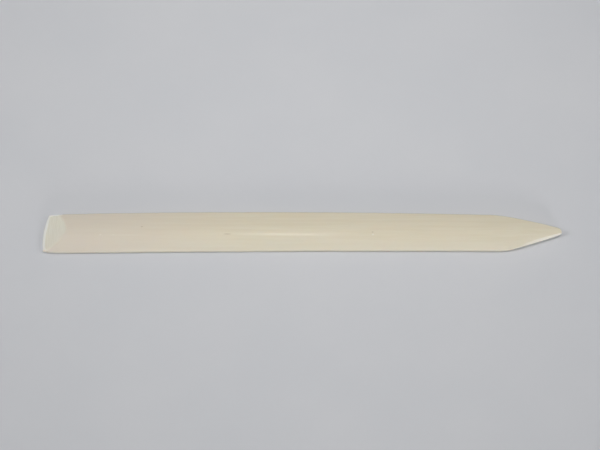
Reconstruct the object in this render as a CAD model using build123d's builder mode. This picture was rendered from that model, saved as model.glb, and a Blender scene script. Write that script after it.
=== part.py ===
from build123d import *
import os

# One-piece sculpting spatula: a long crowned blade with a ground chisel at one end and a blunt point at
# the other. All sizes are in millimetres. +X runs from the chisel to the point, +Y towards the outer side
# of the blade's slight bow, and +Z up. The origin is under the middle of the blade, on its flat underside.

# Overall size
half_length = 80.0
half_span = 6.5  # half the overall width, with the bow
thickness = 3.4  # flat underside to crest

# Crown: the upper side is part of one long cylinder, bent to follow the bow
crown_radius = 10.6
crown_half_chord = (crown_radius**2 - (crown_radius - thickness) ** 2) ** 0.5
crest_overrun = 2.0
crest_heel = (-half_length - crest_overrun, -0.5)
crest_middle = (0.0, 0.3)
crest_tip = (half_length + crest_overrun, -0.85)

# Plan outline: the heel is the chisel end, the shoulders are where the point starts. The upper and lower
# sides are the +Y and -Y ones.
upper_heel = (-78.4, 5.58)
upper_bend = (-72.4, 5.86)
upper_crest = (-13.0, half_span)
upper_shoulder = (60.7, 5.56)
upper_taper = (70.0, 3.72)
upper_nose = (79.2, 1.43)
nose_foremost = (half_length, 0.083)
lower_nose = (79.6, -0.95)
lower_taper = (71.0, -3.6)
lower_shoulder = (63.1, -5.9)
lower_middle = (0.0, -5.87)
lower_heel = (-75.5, -half_span)
heel_lower = (-79.72, -5.85)
heel_foremost = (-half_length, -2.5)
corner_radii = {
    upper_heel: 0.6,
    upper_bend: 8.0,
    upper_shoulder: 22.0,
    upper_nose: 1.0,
    lower_nose: 0.8,
    lower_shoulder: 20.0,
    lower_heel: 8.0,
    heel_lower: 0.5,
}

# Side profile: the underside curves up a little towards both ends, and the point thins from above too.
# It overruns the plan outline, so that only the outline shapes the ends.
profile_end = half_length + 0.5
heel_lift = 0.12
heel_flat_end = (6.0 - half_length, 0)
tip_lift = 0.5
tip_flat_end = (half_length - 14.0, 0)
tip_height = 2.3
tip_fall_start = (half_length - 24.0, thickness)

# Chisel: one ground face, which runs out on the crown here and leans a little to +Y
ground_peak = (-73.0, 0.0, 3.2)
ground_normal = (-0.36, 0.115, 1.0)

# Bevel along the -Y edge of the point
bevel_middle = (70.0, -3.9, 1.85)
bevel_normal = (0.315, -0.964, 1.0)

# Softened edges, and how far up and how far back the low edges and the nose's own edges reach
crown_edge_radius = 0.3
underside_edge_radius = 0.25
low_edge_height = 0.6
nose_length = 1.0

with BuildPart() as spatula_blade:
    # Side profile, wider than the blade
    with BuildSketch(Plane.XZ):
        with BuildLine():
            Line((-profile_end, thickness), tip_fall_start)
            TangentArc(tip_fall_start, (profile_end, tip_height), tangent=(1, 0))
            Line((profile_end, tip_height), (profile_end, tip_lift))
            TangentArc(tip_flat_end, (profile_end, tip_lift), tangent=(1, 0))
            Line(tip_flat_end, heel_flat_end)
            TangentArc(heel_flat_end, (-profile_end, heel_lift), tangent=(-1, 0))
            Line((-profile_end, heel_lift), (-profile_end, thickness))
        make_face()
    extrude(amount=2 * half_span, both=True)

    # Plan outline
    with BuildSketch() as outline:
        with BuildLine():
            Line(upper_heel, upper_bend)
            ThreePointArc(upper_bend, upper_crest, upper_shoulder)
            ThreePointArc(upper_shoulder, upper_taper, upper_nose)
            ThreePointArc(upper_nose, nose_foremost, lower_nose)
            ThreePointArc(lower_nose, lower_taper, lower_shoulder)
            ThreePointArc(lower_shoulder, lower_middle, lower_heel)
            Line(lower_heel, heel_lower)
            ThreePointArc(heel_lower, heel_foremost, upper_heel)
        make_face()
        for corner, radius in corner_radii.items():
            fillet(outline.vertices().sort_by_distance(corner)[0], radius)
    extrude(amount=thickness, mode=Mode.INTERSECT)

    # Soften the rim of the underside, which is every low edge that isn't across the blade
    low_edges = spatula_blade.edges().filter_by(lambda edge: edge.bounding_box().max.Z < low_edge_height)
    seams = low_edges.filter_by(Axis.Y).filter_by(GeomType.LINE)
    fillet(low_edges - seams, underside_edge_radius)

    # Crown, bent along the bow
    with BuildLine() as crest:
        ThreePointArc(crest_heel, crest_middle, crest_tip)
    crest_heading = crest.line % 0
    across_crest = Vector(0, 0, 1).cross(crest_heading)
    crest_start = Plane(origin=crest.line @ 0, x_dir=across_crest, z_dir=crest_heading)
    with BuildSketch(crest_start):
        with BuildLine():
            ThreePointArc((-crown_half_chord, 0), (0, thickness), (crown_half_chord, 0))
            Line((crown_half_chord, 0), (-crown_half_chord, 0))
        make_face()
    sweep(path=crest.line, mode=Mode.INTERSECT)

    # Soften both long edges of the crown, and the edge round the top of the nose
    long_edges = spatula_blade.edges().filter_by(lambda edge: edge.length > half_length)
    nose_start = half_length - nose_length
    nose_edges = spatula_blade.edges().filter_by(lambda edge: edge.bounding_box().min.X > nose_start)
    fillet(long_edges.sort_by(Axis.Z)[-2:] + nose_edges.sort_by(Axis.Z)[-1:], crown_edge_radius)

    # Chisel face and bevel
    split(bisect_by=Plane(origin=ground_peak, z_dir=ground_normal), keep=Keep.BOTTOM)
    split(bisect_by=Plane(origin=bevel_middle, z_dir=bevel_normal), keep=Keep.BOTTOM)

spatula_blade.part.label = "spatula_blade"
os.makedirs("parts", exist_ok=True)
export_step(spatula_blade.part, "parts/spatula_blade.step")
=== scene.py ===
from math import cos, pi, radians, sin

import bpy
import numpy as np
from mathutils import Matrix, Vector


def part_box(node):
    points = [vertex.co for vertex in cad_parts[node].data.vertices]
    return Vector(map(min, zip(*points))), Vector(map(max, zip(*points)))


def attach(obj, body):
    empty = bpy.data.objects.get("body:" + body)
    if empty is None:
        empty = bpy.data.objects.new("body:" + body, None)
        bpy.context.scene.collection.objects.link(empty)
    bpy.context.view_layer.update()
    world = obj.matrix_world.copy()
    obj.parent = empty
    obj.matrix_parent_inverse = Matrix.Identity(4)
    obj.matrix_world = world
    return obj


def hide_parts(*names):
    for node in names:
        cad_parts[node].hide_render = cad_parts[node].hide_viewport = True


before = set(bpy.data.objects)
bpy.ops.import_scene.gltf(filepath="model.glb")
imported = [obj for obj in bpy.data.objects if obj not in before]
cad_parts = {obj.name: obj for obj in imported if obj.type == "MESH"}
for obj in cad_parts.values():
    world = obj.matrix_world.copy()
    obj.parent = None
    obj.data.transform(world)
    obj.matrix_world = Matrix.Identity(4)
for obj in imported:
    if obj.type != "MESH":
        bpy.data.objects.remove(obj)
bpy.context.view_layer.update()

# Shape values are in millimetres, in the frame's own axes: +X from the chisel to the point, +Y to the
# outer side of the bow, +Z up from the surface that the blade lies on.
MM = 0.001
HALF_LENGTH, HALF_SPAN, THICKNESS = np.array(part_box("spatula_blade")[1]) / MM

# Plan outline. Each edge starts at an X with a height and a slope, and bends beyond it, away from the
# blade's middle. A blend is how softly two edges run into each other.
UPPER_EDGE = (0.0, HALF_SPAN - 0.03, -0.0045, -0.000172)
UPPER_TAPER = (60.0, 5.68, -0.17, -0.00265)
UPPER_HEEL = (-72.0, 5.92, 0.05, -0.002)
LOWER_EDGE = (0.0, -5.87, 0.0035, -0.000064)
LOWER_TAPER = (68.4, -4.36, 0.29, 0.0022)
LOWER_HEEL = (-76.0, -6.42, -0.10, 0.0)
UPPER_SHOULDER_BLEND = 0.5
LOWER_SHOULDER_BLEND = 0.9
HEEL_TAPER_BLEND = 0.3
HEEL_CORNER_BLEND = 0.25
HEEL_MIDDLE_Y = -2.5
HEEL_RADIUS = 20.4
HEEL_CORNERS_IN = (0.36, 1.60)  # how far in from the end the chisel's -Y and +Y corners are
NOSE_MIDDLE_Y = 0.0
NOSE_RADIUS = 1.4
NOSE_BLEND = 0.35

EDGE_WANDER = 0.06
NICKS = ((-67.0, 0.35, 0.10), (-45.0, 0.45, 0.08), (28.0, 0.6, 0.05))  # X, half length and depth

# Crown and ends
CREST_LINE = (0.3, -0.00213, -0.000145)  # the crest's Y, slope and bend at X = 0
CROWN_RADIUS = 10.6
ROLL_START = 5.0  # further +Y of the crest than this, the crown rolls off faster
ROLL_RADIUS = 6.0
CROWN_WANDER = 0.03
TIP_FALL_START, TIP_FALL = 56.0, 1.1
TIP_LIFT_START, TIP_LIFT = 66.0, 0.5
HEEL_LIFT_START, HEEL_LIFT = -74.0, 0.12

# Chisel face and bevel: a point on each plane, its upward normal, and how soft its edge is
GROUND = ((-73.0, 0.0, 3.20), (-0.36, 0.115, 1.0), 0.16)
BEVEL = ((70.0, -3.90, 1.85), (0.315, -0.964, 1.0), 0.10)

# Rim: how far in from the outline its rounding reaches, and where its widest line is
RIM_TOP = 0.55
RIM_HEEL = 1.2
RIM_BEVEL = 0.15
RIM_UNDER = 0.28
RIM_MIDDLE = 0.36  # as a share of the edge's thickness
RIM_ROWS = 6

# Mesh density
ACROSS = 40
HEEL_STEP, BODY_STEP, TIP_STEP = 0.16, 0.42, 0.2
HEEL_DENSE, TIP_DENSE = 10.0, 24.0  # lengths of the finer stretches


def soft_min(a, b, blend):
    """The lower of a and b, with the corner between them rounded."""
    h = np.clip(0.5 + 0.5 * (b - a) / blend, 0, 1)
    return b * (1 - h) + a * h - blend * h * (1 - h)


def wander(x, size, *waves):
    """The slow unevenness of handwork, from 0 to size: waves are (length in mm, phase)."""
    swing = sum(np.sin(2 * pi * x / length + phase) for length, phase in waves) / len(waves)
    return size * (0.5 + 0.5 * swing)


def edge(x, line):
    start, height, slope, bend = line
    return height + slope * (x - start) + bend * np.maximum(abs(x) - abs(start), 0) ** 2


def upper_edge(x):
    shoulder = soft_min(edge(x, UPPER_EDGE), edge(x, UPPER_TAPER), UPPER_SHOULDER_BLEND)
    line = soft_min(shoulder, edge(x, UPPER_HEEL), HEEL_TAPER_BLEND)
    for middle, half_length, depth in NICKS:
        line = line - depth * np.exp(-(((x - middle) / half_length) ** 2))
    return line - wander(x, EDGE_WANDER, (31, 0.4), (17, 2.1), (7.3, 4.4))


def lower_edge(x):
    shoulder = soft_min(-edge(x, LOWER_EDGE), -edge(x, LOWER_TAPER), LOWER_SHOULDER_BLEND)
    line = -soft_min(shoulder, -edge(x, LOWER_HEEL), HEEL_TAPER_BLEND)
    return line + wander(x, EDGE_WANDER, (37, 1.3), (19, 5.2), (8.1, 0.7))


def inside(x, y):
    """How far a point is inside the plan outline, near enough, and negative outside it."""
    heel = x + HALF_LENGTH - (y - HEEL_MIDDLE_Y) ** 2 / (2 * HEEL_RADIUS)
    nose = HALF_LENGTH - x - (y - NOSE_MIDDLE_Y) ** 2 / (2 * NOSE_RADIUS)
    upper = soft_min(upper_edge(x) - y, heel, HEEL_CORNER_BLEND)
    lower = soft_min(y - lower_edge(x), heel, HEEL_CORNER_BLEND)
    return soft_min(np.minimum(upper, lower), nose, NOSE_BLEND)


def rim_top(x, y):
    """Width of the rounding round the upper side: wide at the chisel's edge, narrow under the bevel."""
    heel = np.clip((-HALF_LENGTH + 2.4 - x) / 1.0, 0, 1)
    bevel = np.clip((x - 60) / 6, 0, 1) * np.clip(-y / 0.5, 0, 1)
    return RIM_TOP + (RIM_HEEL - RIM_TOP) * heel + (RIM_BEVEL - RIM_TOP) * bevel


def rim_under(x, y):
    return np.full_like(x, RIM_UNDER)


def meet(x, y, along_x, along_y, share, rim, reach=9.0):
    """Where straight rays from points well inside the blade come to a given share of its rim's width."""
    near, far = np.zeros_like(x), np.full_like(x, reach)
    for _ in range(40):
        middle = (near + far) / 2
        place = (x + along_x * middle, y + along_y * middle)
        is_in = inside(*place) > share * rim(*place)
        near, far = np.where(is_in, middle, near), np.where(is_in, far, middle)
    return np.stack([x + along_x * near, y + along_y * near], axis=1)


def stations():
    """Shares of the length at which the blade is cut across: close together at both ends."""
    body = 2 * HALF_LENGTH - HEEL_DENSE - TIP_DENSE
    steps = np.concatenate([
        np.full(round(HEEL_DENSE / HEEL_STEP), HEEL_STEP),
        np.full(round(body / BODY_STEP), BODY_STEP),
        np.full(round(TIP_DENSE / TIP_STEP), TIP_STEP),
    ])
    return np.concatenate([[0], np.cumsum(steps)]) / steps.sum()


def runs(share, rim):
    """The plan outline, drawn in by a share of the rim's width: lower edge, nose, upper edge and heel."""
    along, across = stations(), np.linspace(0, 1, ACROSS + 1)
    inset = share * RIM_TOP
    nose_x = HALF_LENGTH - 0.35 * NOSE_RADIUS - inset
    lower_x = -HALF_LENGTH + HEEL_CORNERS_IN[0] + share * RIM_HEEL
    upper_x = -HALF_LENGTH + HEEL_CORNERS_IN[1] + share * RIM_HEEL
    middle = np.zeros_like(along)
    lower = meet(lower_x + (nose_x - lower_x) * along, middle, 0, -1, share, rim)
    upper = meet(upper_x + (nose_x - upper_x) * along, middle, 0, 1, share, rim)
    nose_y = lower[-1, 1] + (upper[-1, 1] - lower[-1, 1]) * across
    heel_y = lower[0, 1] + (upper[0, 1] - lower[0, 1]) * across
    nose = meet(np.full_like(nose_y, nose_x - 1), nose_y, 1, 0, share, rim)
    heel = meet(np.full_like(heel_y, -HALF_LENGTH + 4), heel_y, -1, 0, share, rim)
    return lower, nose, upper, heel


def ring(share, rim):
    """The same four runs as one closed line, against the clock from the lower heel corner."""
    lower, nose, upper, heel = runs(share, rim)
    return np.concatenate([lower[:-1], nose[:-1], upper[:0:-1], heel[:0:-1]])


def grid(rim):
    """Points over one side, spread between the four runs at the inner end of its rim."""
    lower, nose, upper, heel = (run[:, None] for run in runs(1, rim))
    nose, heel = nose.transpose(1, 0, 2), heel.transpose(1, 0, 2)
    along, across = stations()[:, None, None], np.linspace(0, 1, ACROSS + 1)[None, :, None]
    between_edges = (1 - across) * lower + across * upper
    between_ends = (1 - along) * heel + along * nose
    corners = (1 - across) * ((1 - along) * lower[0] + along * lower[-1])
    corners = corners + across * ((1 - along) * upper[0] + along * upper[-1])
    return between_edges + between_ends - corners


def top_height(x, y):
    """Height of the upper side without its rounded rim, and the shares of the chisel face and bevel."""
    crest = CREST_LINE[0] + CREST_LINE[1] * x + CREST_LINE[2] * x**2
    off = y - crest
    roll = np.maximum(off - ROLL_START, 0) ** 2 / (2 * ROLL_RADIUS)
    crown = THICKNESS - off**2 / (2 * CROWN_RADIUS) - roll
    crown = crown - wander(x + 0.7 * y, CROWN_WANDER, (23, 0.9), (11, 3.0), (5.3, 1.8))
    crown = crown - TIP_FALL * (np.maximum(x - TIP_FALL_START, 0) / (HALF_LENGTH - TIP_FALL_START)) ** 2
    height, shares = crown, []
    for point, normal, blend in (GROUND, BEVEL):
        plane = point[2] - (normal[0] * (x - point[0]) + normal[1] * (y - point[1])) / normal[2]
        height = soft_min(height, plane, blend)
        shares.append(np.clip((crown - plane) / blend * 0.5 + 0.5, 0, 1))
    return height, *shares


def under_height(x):
    """Height of the underside, which curves up at both ends."""
    heel = HEEL_LIFT * (np.maximum(HEEL_LIFT_START - x, 0) / (HALF_LENGTH + HEEL_LIFT_START)) ** 2
    tip = TIP_LIFT * (np.maximum(x - TIP_LIFT_START, 0) / (HALF_LENGTH - TIP_LIFT_START)) ** 2
    return heel + tip


def blade_mesh():
    """The blade as rings round its rim and a grid over each side, all quads."""
    points, faces = [], []
    shares = {name: [] for name in ("ground", "bevel", "rounding")}

    def add(plan, height, rounding, is_top=True):
        start = sum(len(p) for p in points)
        points.append(np.column_stack([plan, height]))
        ground, bevel = top_height(*plan.T)[1:]
        shares["ground"].append(ground * is_top)
        shares["bevel"].append(bevel * is_top)
        shares["rounding"].append(np.full(len(plan), rounding))
        return start + np.arange(len(plan))

    def add_faces(corners, is_top):
        faces.append(corners if is_top else corners[:, ::-1])

    outline = ring(0, rim_top)
    edge_top = top_height(*ring(1, rim_top).T)[0]
    edge_under = under_height(ring(1, rim_under)[:, 0])
    widest = edge_under + RIM_MIDDLE * (edge_top - edge_under)
    shared = add(outline, widest, 1.0)

    for is_top, rim, edge_height in ((True, rim_top, edge_top), (False, rim_under, edge_under)):
        bands = [shared]
        for row in range(1, RIM_ROWS):
            angle = pi / 2 * row / RIM_ROWS
            plan = ring(1 - cos(angle), rim)
            bands.append(add(plan, widest + (edge_height - widest) * sin(angle), cos(angle), is_top))

        places = grid(rim)
        plan = places.reshape(-1, 2)
        height = top_height(*plan.T)[0] if is_top else under_height(plan[:, 0])
        index = add(plan, height, 0.0, is_top).reshape(places.shape[:2])
        bands.append(np.concatenate([index[:-1, 0], index[-1, :-1], index[:0:-1, -1], index[0, :0:-1]]))
        quads = np.stack([index[:-1, :-1], index[1:, :-1], index[1:, 1:], index[:-1, 1:]], axis=-1)
        add_faces(quads.reshape(-1, 4), is_top)
        for outer, inner in zip(bands, bands[1:]):
            add_faces(np.stack([outer, np.roll(outer, -1), np.roll(inner, -1), inner], axis=1), is_top)

    mesh = bpy.data.meshes.new("spatula_blade_detailed")
    mesh.from_pydata((np.concatenate(points) * MM).tolist(), [], np.concatenate(faces).tolist())
    mesh.shade_smooth()
    for name, values in shares.items():
        attribute = mesh.attributes.new(name, "FLOAT", "POINT")
        attribute.data.foreach_set("value", np.concatenate(values).astype(np.float32))
    mesh.validate()
    return mesh


def make_blade():
    blade = bpy.data.objects.new("carved_blade", blade_mesh())
    bpy.context.scene.collection.objects.link(blade)
    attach(blade, "root")
    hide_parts("spatula_blade")
    return blade


# Materials

IVORY_DEEP = (0.704, 0.641, 0.494, 1)
IVORY_PALE = (0.732, 0.677, 0.537, 1)
IVORY_WARM = (0.729, 0.649, 0.506, 1)
# paler colour, painted light on the -Y side of the blade
IVORY_LOWER_PAINTED_LIGHT = (0.714, 0.674, 0.557, 1)
# rosy tint, darker than the cream: painted shade towards the chisel end
IVORY_ROSE_AND_SHADE = (0.690, 0.622, 0.550, 1)
# darker, yellower +Y edge colour: the darkness is painted shade where the rim turns away from the light
IVORY_EDGE_PAINTED_SHADE = (0.600, 0.560, 0.440, 1)
# whitish band along the chisel's edge: painted highlight on its rounding
IVORY_LAND_PAINTED_HIGHLIGHT = (0.830, 0.825, 0.780, 1)
# whitish bevel colour near the point: painted highlight
IVORY_BEVEL_PAINTED_HIGHLIGHT = (0.850, 0.820, 0.720, 1)
IVORY_FLECK = (0.640, 0.560, 0.420, 1)
# paler rim colour: partly wear, partly painted highlight on the rounding
IVORY_WEAR_AND_HIGHLIGHT = (0.760, 0.720, 0.610, 1)
IVORY_GROUND = (0.745, 0.712, 0.600, 1)
IVORY_GROUND_PALE = (0.790, 0.760, 0.655, 1)
IVORY_SPECK = (0.800, 0.770, 0.680, 1)
IVORY_PIT = (0.420, 0.340, 0.240, 1)

# Small marks on the upper side: place, half length, half width and strength
DARK_MARKS = (
    ((-49.0, 1.5, 3.2), 0.45, 0.20, 0.55),
    ((-22.8, -0.8, 3.2), 1.6, 0.18, 0.60),
    ((21.6, -0.2, 3.2), 0.35, 0.22, 0.60),
)
PALE_MARKS = (
    ((-61.6, -1.0, 3.2), 0.55, 0.25, 0.55),
    ((-57.6, -1.0, 3.2), 0.50, 0.22, 0.50),
    ((-54.0, -1.1, 3.2), 10.0, 0.30, 0.25),
    ((21.7, -0.95, 3.2), 0.45, 0.30, 0.90),
)


def new_material(name):
    material = bpy.data.materials.new(name)
    material.use_nodes = True
    tree = material.node_tree
    return material, tree, tree.nodes["Principled BSDF"]


def node(tree, kind, inputs=None, **settings):
    made = tree.nodes.new(kind)
    for key, value in settings.items():
        setattr(made, key, value)
    for key, value in (inputs or {}).items():
        if isinstance(value, bpy.types.NodeSocket):
            tree.links.new(value, made.inputs[key])
        else:
            made.inputs[key].default_value = value
    return made


def noise(tree, space, size, detail=3.0, roughness=0.5):
    """Noise whose features are about as long as size says along X, Y and Z, in mm."""
    scale = tuple(1 / (length * MM) for length in size)
    stretched = node(tree, "ShaderNodeMapping", {"Vector": space, "Scale": scale}).outputs["Vector"]
    inputs = {"Vector": stretched, "Scale": 1.0, "Detail": detail, "Roughness": roughness}
    return node(tree, "ShaderNodeTexNoise", inputs).outputs["Fac"]


def spread(tree, value, low, high, to_low=0.0, to_high=1.0):
    """Stretch the part of a value between low and high out to to_low and to_high."""
    inputs = {"Value": value, "From Min": low, "From Max": high, "To Min": to_low, "To Max": to_high}
    return node(tree, "ShaderNodeMapRange", inputs, interpolation_type="SMOOTHSTEP").outputs["Result"]


def mix(tree, share, a, b):
    made = node(tree, "ShaderNodeMix", data_type="RGBA")
    for index, value in ((0, share), (6, a), (7, b)):
        if isinstance(value, bpy.types.NodeSocket):
            tree.links.new(value, made.inputs[index])
        else:
            made.inputs[index].default_value = value
    return made.outputs[2]


def maths(tree, operation, *values):
    return node(tree, "ShaderNodeMath", dict(enumerate(values)), operation=operation).outputs["Value"]


def mark(tree, space, middle, half_length, half_width):
    """1 in the middle of a small long mark on the upper side and 0 outside it."""
    middle = tuple(v * MM for v in middle)
    away = node(tree, "ShaderNodeVectorMath", {0: space, 1: middle}, operation="SUBTRACT")
    shape = tuple(1 / (v * MM) for v in (half_length, half_width, THICKNESS))
    scaled = node(tree, "ShaderNodeVectorMath", {0: away.outputs["Vector"], 1: shape}, operation="MULTIPLY")
    length = node(tree, "ShaderNodeVectorMath", {0: scaled.outputs["Vector"]}, operation="LENGTH")
    return spread(tree, length.outputs["Value"], 1.0, 0.3)


def all_marks(tree, space, marks):
    """The strongest of the given marks at each place."""
    strongest = None
    for middle, half_length, half_width, strength in marks:
        shape = maths(tree, "MULTIPLY", mark(tree, space, middle, half_length, half_width), strength)
        strongest = shape if strongest is None else maths(tree, "MAXIMUM", strongest, shape)
    return strongest


def ivory_material():
    material, tree, shader = new_material("ivory")
    space = node(tree, "ShaderNodeTexCoord").outputs["Object"]
    place = node(tree, "ShaderNodeSeparateXYZ", {"Vector": space}).outputs
    ground, bevel, rounding = (
        node(tree, "ShaderNodeAttribute", attribute_name=name).outputs["Fac"]
        for name in ("ground", "bevel", "rounding")
    )

    cloud = noise(tree, space, (14, 5, 5), 2.0)
    streak = noise(tree, space, (22, 0.9, 0.9), 4.0, 0.6)
    hairline = noise(tree, space, (5, 0.16, 0.16), 3.0, 0.65)
    grinding = noise(tree, space, (0.22, 3, 3), 4.0, 0.6)
    grain = noise(tree, space, (0.5, 0.12, 0.12), 2.0)

    # Colour: cream with lengthways streaks and faint clouds. Paler towards -Y: painted light on the side
    # turned to the light. Rosier and darker towards the chisel: the darkening is painted shade where the
    # light falls off.
    # The rim is paler, partly wear and partly painted highlight; the +Y edge is darker and yellower, its
    # darkness painted shade. The bevel near the point and the land along the chisel's edge are painted
    # highlights, the whitest.
    cream = mix(tree, spread(tree, streak, 0.35, 0.65), IVORY_DEEP, IVORY_PALE)
    cream = mix(tree, spread(tree, cloud, 0.35, 0.7, 0.0, 0.35), cream, IVORY_WARM)
    # paler towards -Y: painted light on the side turned to the light
    cream = mix(tree, spread(tree, place["Y"], -0.0055, 0.0, 0.6, 0.0), cream, IVORY_LOWER_PAINTED_LIGHT)
    # rosier and darker towards the chisel: the darkening is painted shade where the light falls off
    cream = mix(tree, spread(tree, place["X"], -0.075, -0.010, 0.65, 0.0), cream, IVORY_ROSE_AND_SHADE)
    flecks = spread(tree, hairline, 0.68, 0.78, 0.0, 0.35)
    cream = mix(tree, flecks, cream, IVORY_FLECK)
    # the rounded rim is paler, partly wear and partly painted highlight, and darker on the +Y side as
    # painted shade
    rim_wear_and_painted_light = spread(tree, rounding, 0.0, 0.6, 0.0, 0.45)
    # on the +Y side the rim takes the darker colour: painted shade
    rim = mix(tree, spread(tree, place["Y"], 0.004, 0.006), IVORY_WEAR_AND_HIGHLIGHT, IVORY_EDGE_PAINTED_SHADE)
    cream = mix(tree, rim_wear_and_painted_light, cream, rim)
    face = mix(tree, spread(tree, grinding, 0.35, 0.65), IVORY_GROUND, IVORY_GROUND_PALE)
    colour = mix(tree, ground, cream, face)
    # the bevel turns whiter towards the point: a painted highlight that grows towards the tip
    highlight_towards_point = spread(tree, place["X"], 0.060, 0.078)
    colour = mix(tree, maths(tree, "MULTIPLY", bevel, highlight_towards_point), colour, IVORY_BEVEL_PAINTED_HIGHLIGHT)
    # the whitish land along the chisel's edge is a painted highlight
    by_chisel = spread(tree, place["X"], -0.0745, -0.0735, 1, 0)
    at_heel = maths(tree, "MULTIPLY", spread(tree, rounding, 0.0, 0.3), by_chisel)
    painted_land_highlight = maths(tree, "MULTIPLY", at_heel, spread(tree, place["Y"], -0.006, -0.005))
    colour = mix(tree, painted_land_highlight, colour, IVORY_LAND_PAINTED_HIGHLIGHT)

    pits = all_marks(tree, space, DARK_MARKS)
    colour = mix(tree, all_marks(tree, space, PALE_MARKS), colour, IVORY_SPECK)
    colour = mix(tree, pits, colour, IVORY_PIT)
    tree.links.new(colour, shader.inputs["Base Color"])

    # Gloss: a satin polish along the blade, matt on the ground face
    satin = spread(tree, streak, 0.3, 0.7, 0.42, 0.54)
    polish = maths(tree, "MULTIPLY_ADD", rounding, -0.08, satin)
    matt = spread(tree, grinding, 0.3, 0.7, 0.58, 0.72)
    gloss = node(tree, "ShaderNodeMix", {0: ground, 2: polish, 3: matt}, data_type="FLOAT").outputs[0]
    gloss = maths(tree, "MULTIPLY_ADD", bevel, -0.15, gloss)
    tree.links.new(maths(tree, "MULTIPLY_ADD", pits, 0.2, gloss), shader.inputs["Roughness"])

    # Relief: hair scratches lengthways, grinding marks across the chisel face, and the pits
    along = maths(tree, "MULTIPLY", hairline, maths(tree, "SUBTRACT", 1.0, ground))
    across = maths(tree, "MULTIPLY", grinding, ground)
    relief = maths(tree, "MULTIPLY_ADD", across, 2.0, along)
    relief = maths(tree, "MULTIPLY_ADD", grain, 0.3, relief)
    relief = maths(tree, "MULTIPLY_ADD", pits, -4.0, relief)
    bump = node(tree, "ShaderNodeBump", {"Strength": 0.35, "Distance": 0.012 * MM, "Height": relief})
    tree.links.new(bump.outputs["Normal"], shader.inputs["Normal"])

    shader.inputs["Specular IOR Level"].default_value = 0.4
    shader.inputs["Subsurface Weight"].default_value = 0.25
    shader.inputs["Subsurface Radius"].default_value = (1.0, 0.65, 0.4)
    shader.inputs["Subsurface Scale"].default_value = 1.2 * MM
    shader.inputs["Coat Weight"].default_value = 0.5
    shader.inputs["Coat Roughness"].default_value = 0.13
    return material


def floor_material():
    material, tree, shader = new_material("pale_paper")
    space = node(tree, "ShaderNodeTexCoord").outputs["Object"]
    cloud = noise(tree, space, (40, 30, 30), 3.0)
    colour = mix(tree, spread(tree, cloud, 0.3, 0.7), (0.592, 0.603, 0.628, 1), (0.608, 0.616, 0.638, 1))
    tree.links.new(colour, shader.inputs["Base Color"])
    tooth = noise(tree, space, (0.5, 0.5, 0.5), 3.0)
    bump = node(tree, "ShaderNodeBump", {"Strength": 0.1, "Distance": 0.02 * MM, "Height": tooth})
    tree.links.new(bump.outputs["Normal"], shader.inputs["Normal"])
    shader.inputs["Roughness"].default_value = 0.75
    return material


def make_floor():
    size = 2.0
    corners = [(-size, -size, 0), (size, -size, 0), (size, size, 0), (-size, size, 0)]
    mesh = bpy.data.meshes.new("table_top")
    mesh.from_pydata(corners, [], [(0, 1, 2, 3)])
    mesh.materials.append(floor_material())
    floor = bpy.data.objects.new("table_top", mesh)
    bpy.context.scene.collection.objects.link(floor)


# Light and camera

def aim(thing, target):
    thing.rotation_euler = (Vector(target) - thing.location).to_track_quat("-Z", "Y").to_euler()


def soft_light(name, place, target, size, power, colour=(1, 1, 1), in_gloss=True, beam=180):
    data = bpy.data.lights.new(name, "AREA")
    data.spread = radians(beam)
    data.shape = "RECTANGLE"
    data.size, data.size_y = size
    data.energy = power
    data.color = colour
    light = bpy.data.objects.new(name, data)
    light.location = place
    light.visible_glossy = in_gloss
    aim(light, target)
    bpy.context.scene.collection.objects.link(light)


def make_light():
    world = bpy.data.worlds.new("room")
    world.use_nodes = True
    back = world.node_tree.nodes["Background"]
    back.inputs["Color"].default_value = (0.97, 0.98, 1.0, 1)
    back.inputs["Strength"].default_value = 0.187
    bpy.context.scene.world = world
    warm = (1.0, 0.99, 0.98)
    soft_light("ceiling", (0.01, 0.05, 0.295), (0.01, 0.05, 0), (0.06, 0.06), 0.36, warm, in_gloss=False)
    soft_light("left", (-0.60, 0.02, 0.50), (0, 0, 0), (0.12, 0.12), 1.55, in_gloss=False)
    soft_light("right", (0.65, 0.02, 0.38), (0, 0, 0), (0.12, 0.12), 0.93, in_gloss=False)
    soft_light("window", (0.40, -0.90, 0.20), (0, 0, 0.02), (0.3, 0.2), 0.165, beam=40)
    soft_light("glint", (-0.012, -0.026, 0.42), (-0.012, 0, 0), (0.075, 0.015), 0.068)


def make_camera():
    elevation = radians(80)
    distance = 0.2575
    data = bpy.data.cameras.new("camera")
    data.lens = 50
    data.sensor_width = 36
    data.clip_start, data.clip_end = 0.01, 20
    camera = bpy.data.objects.new("camera", data)
    target = Vector((-0.0006, 0.0024, 0.001))
    camera.location = target + distance * Vector((0, -cos(elevation), sin(elevation)))
    aim(camera, target)
    bpy.context.scene.collection.objects.link(camera)
    bpy.context.scene.camera = camera


bpy.context.scene.view_settings.view_transform = "Standard"
blade = make_blade()
blade.data.materials.append(ivory_material())
make_floor()
make_light()
make_camera()
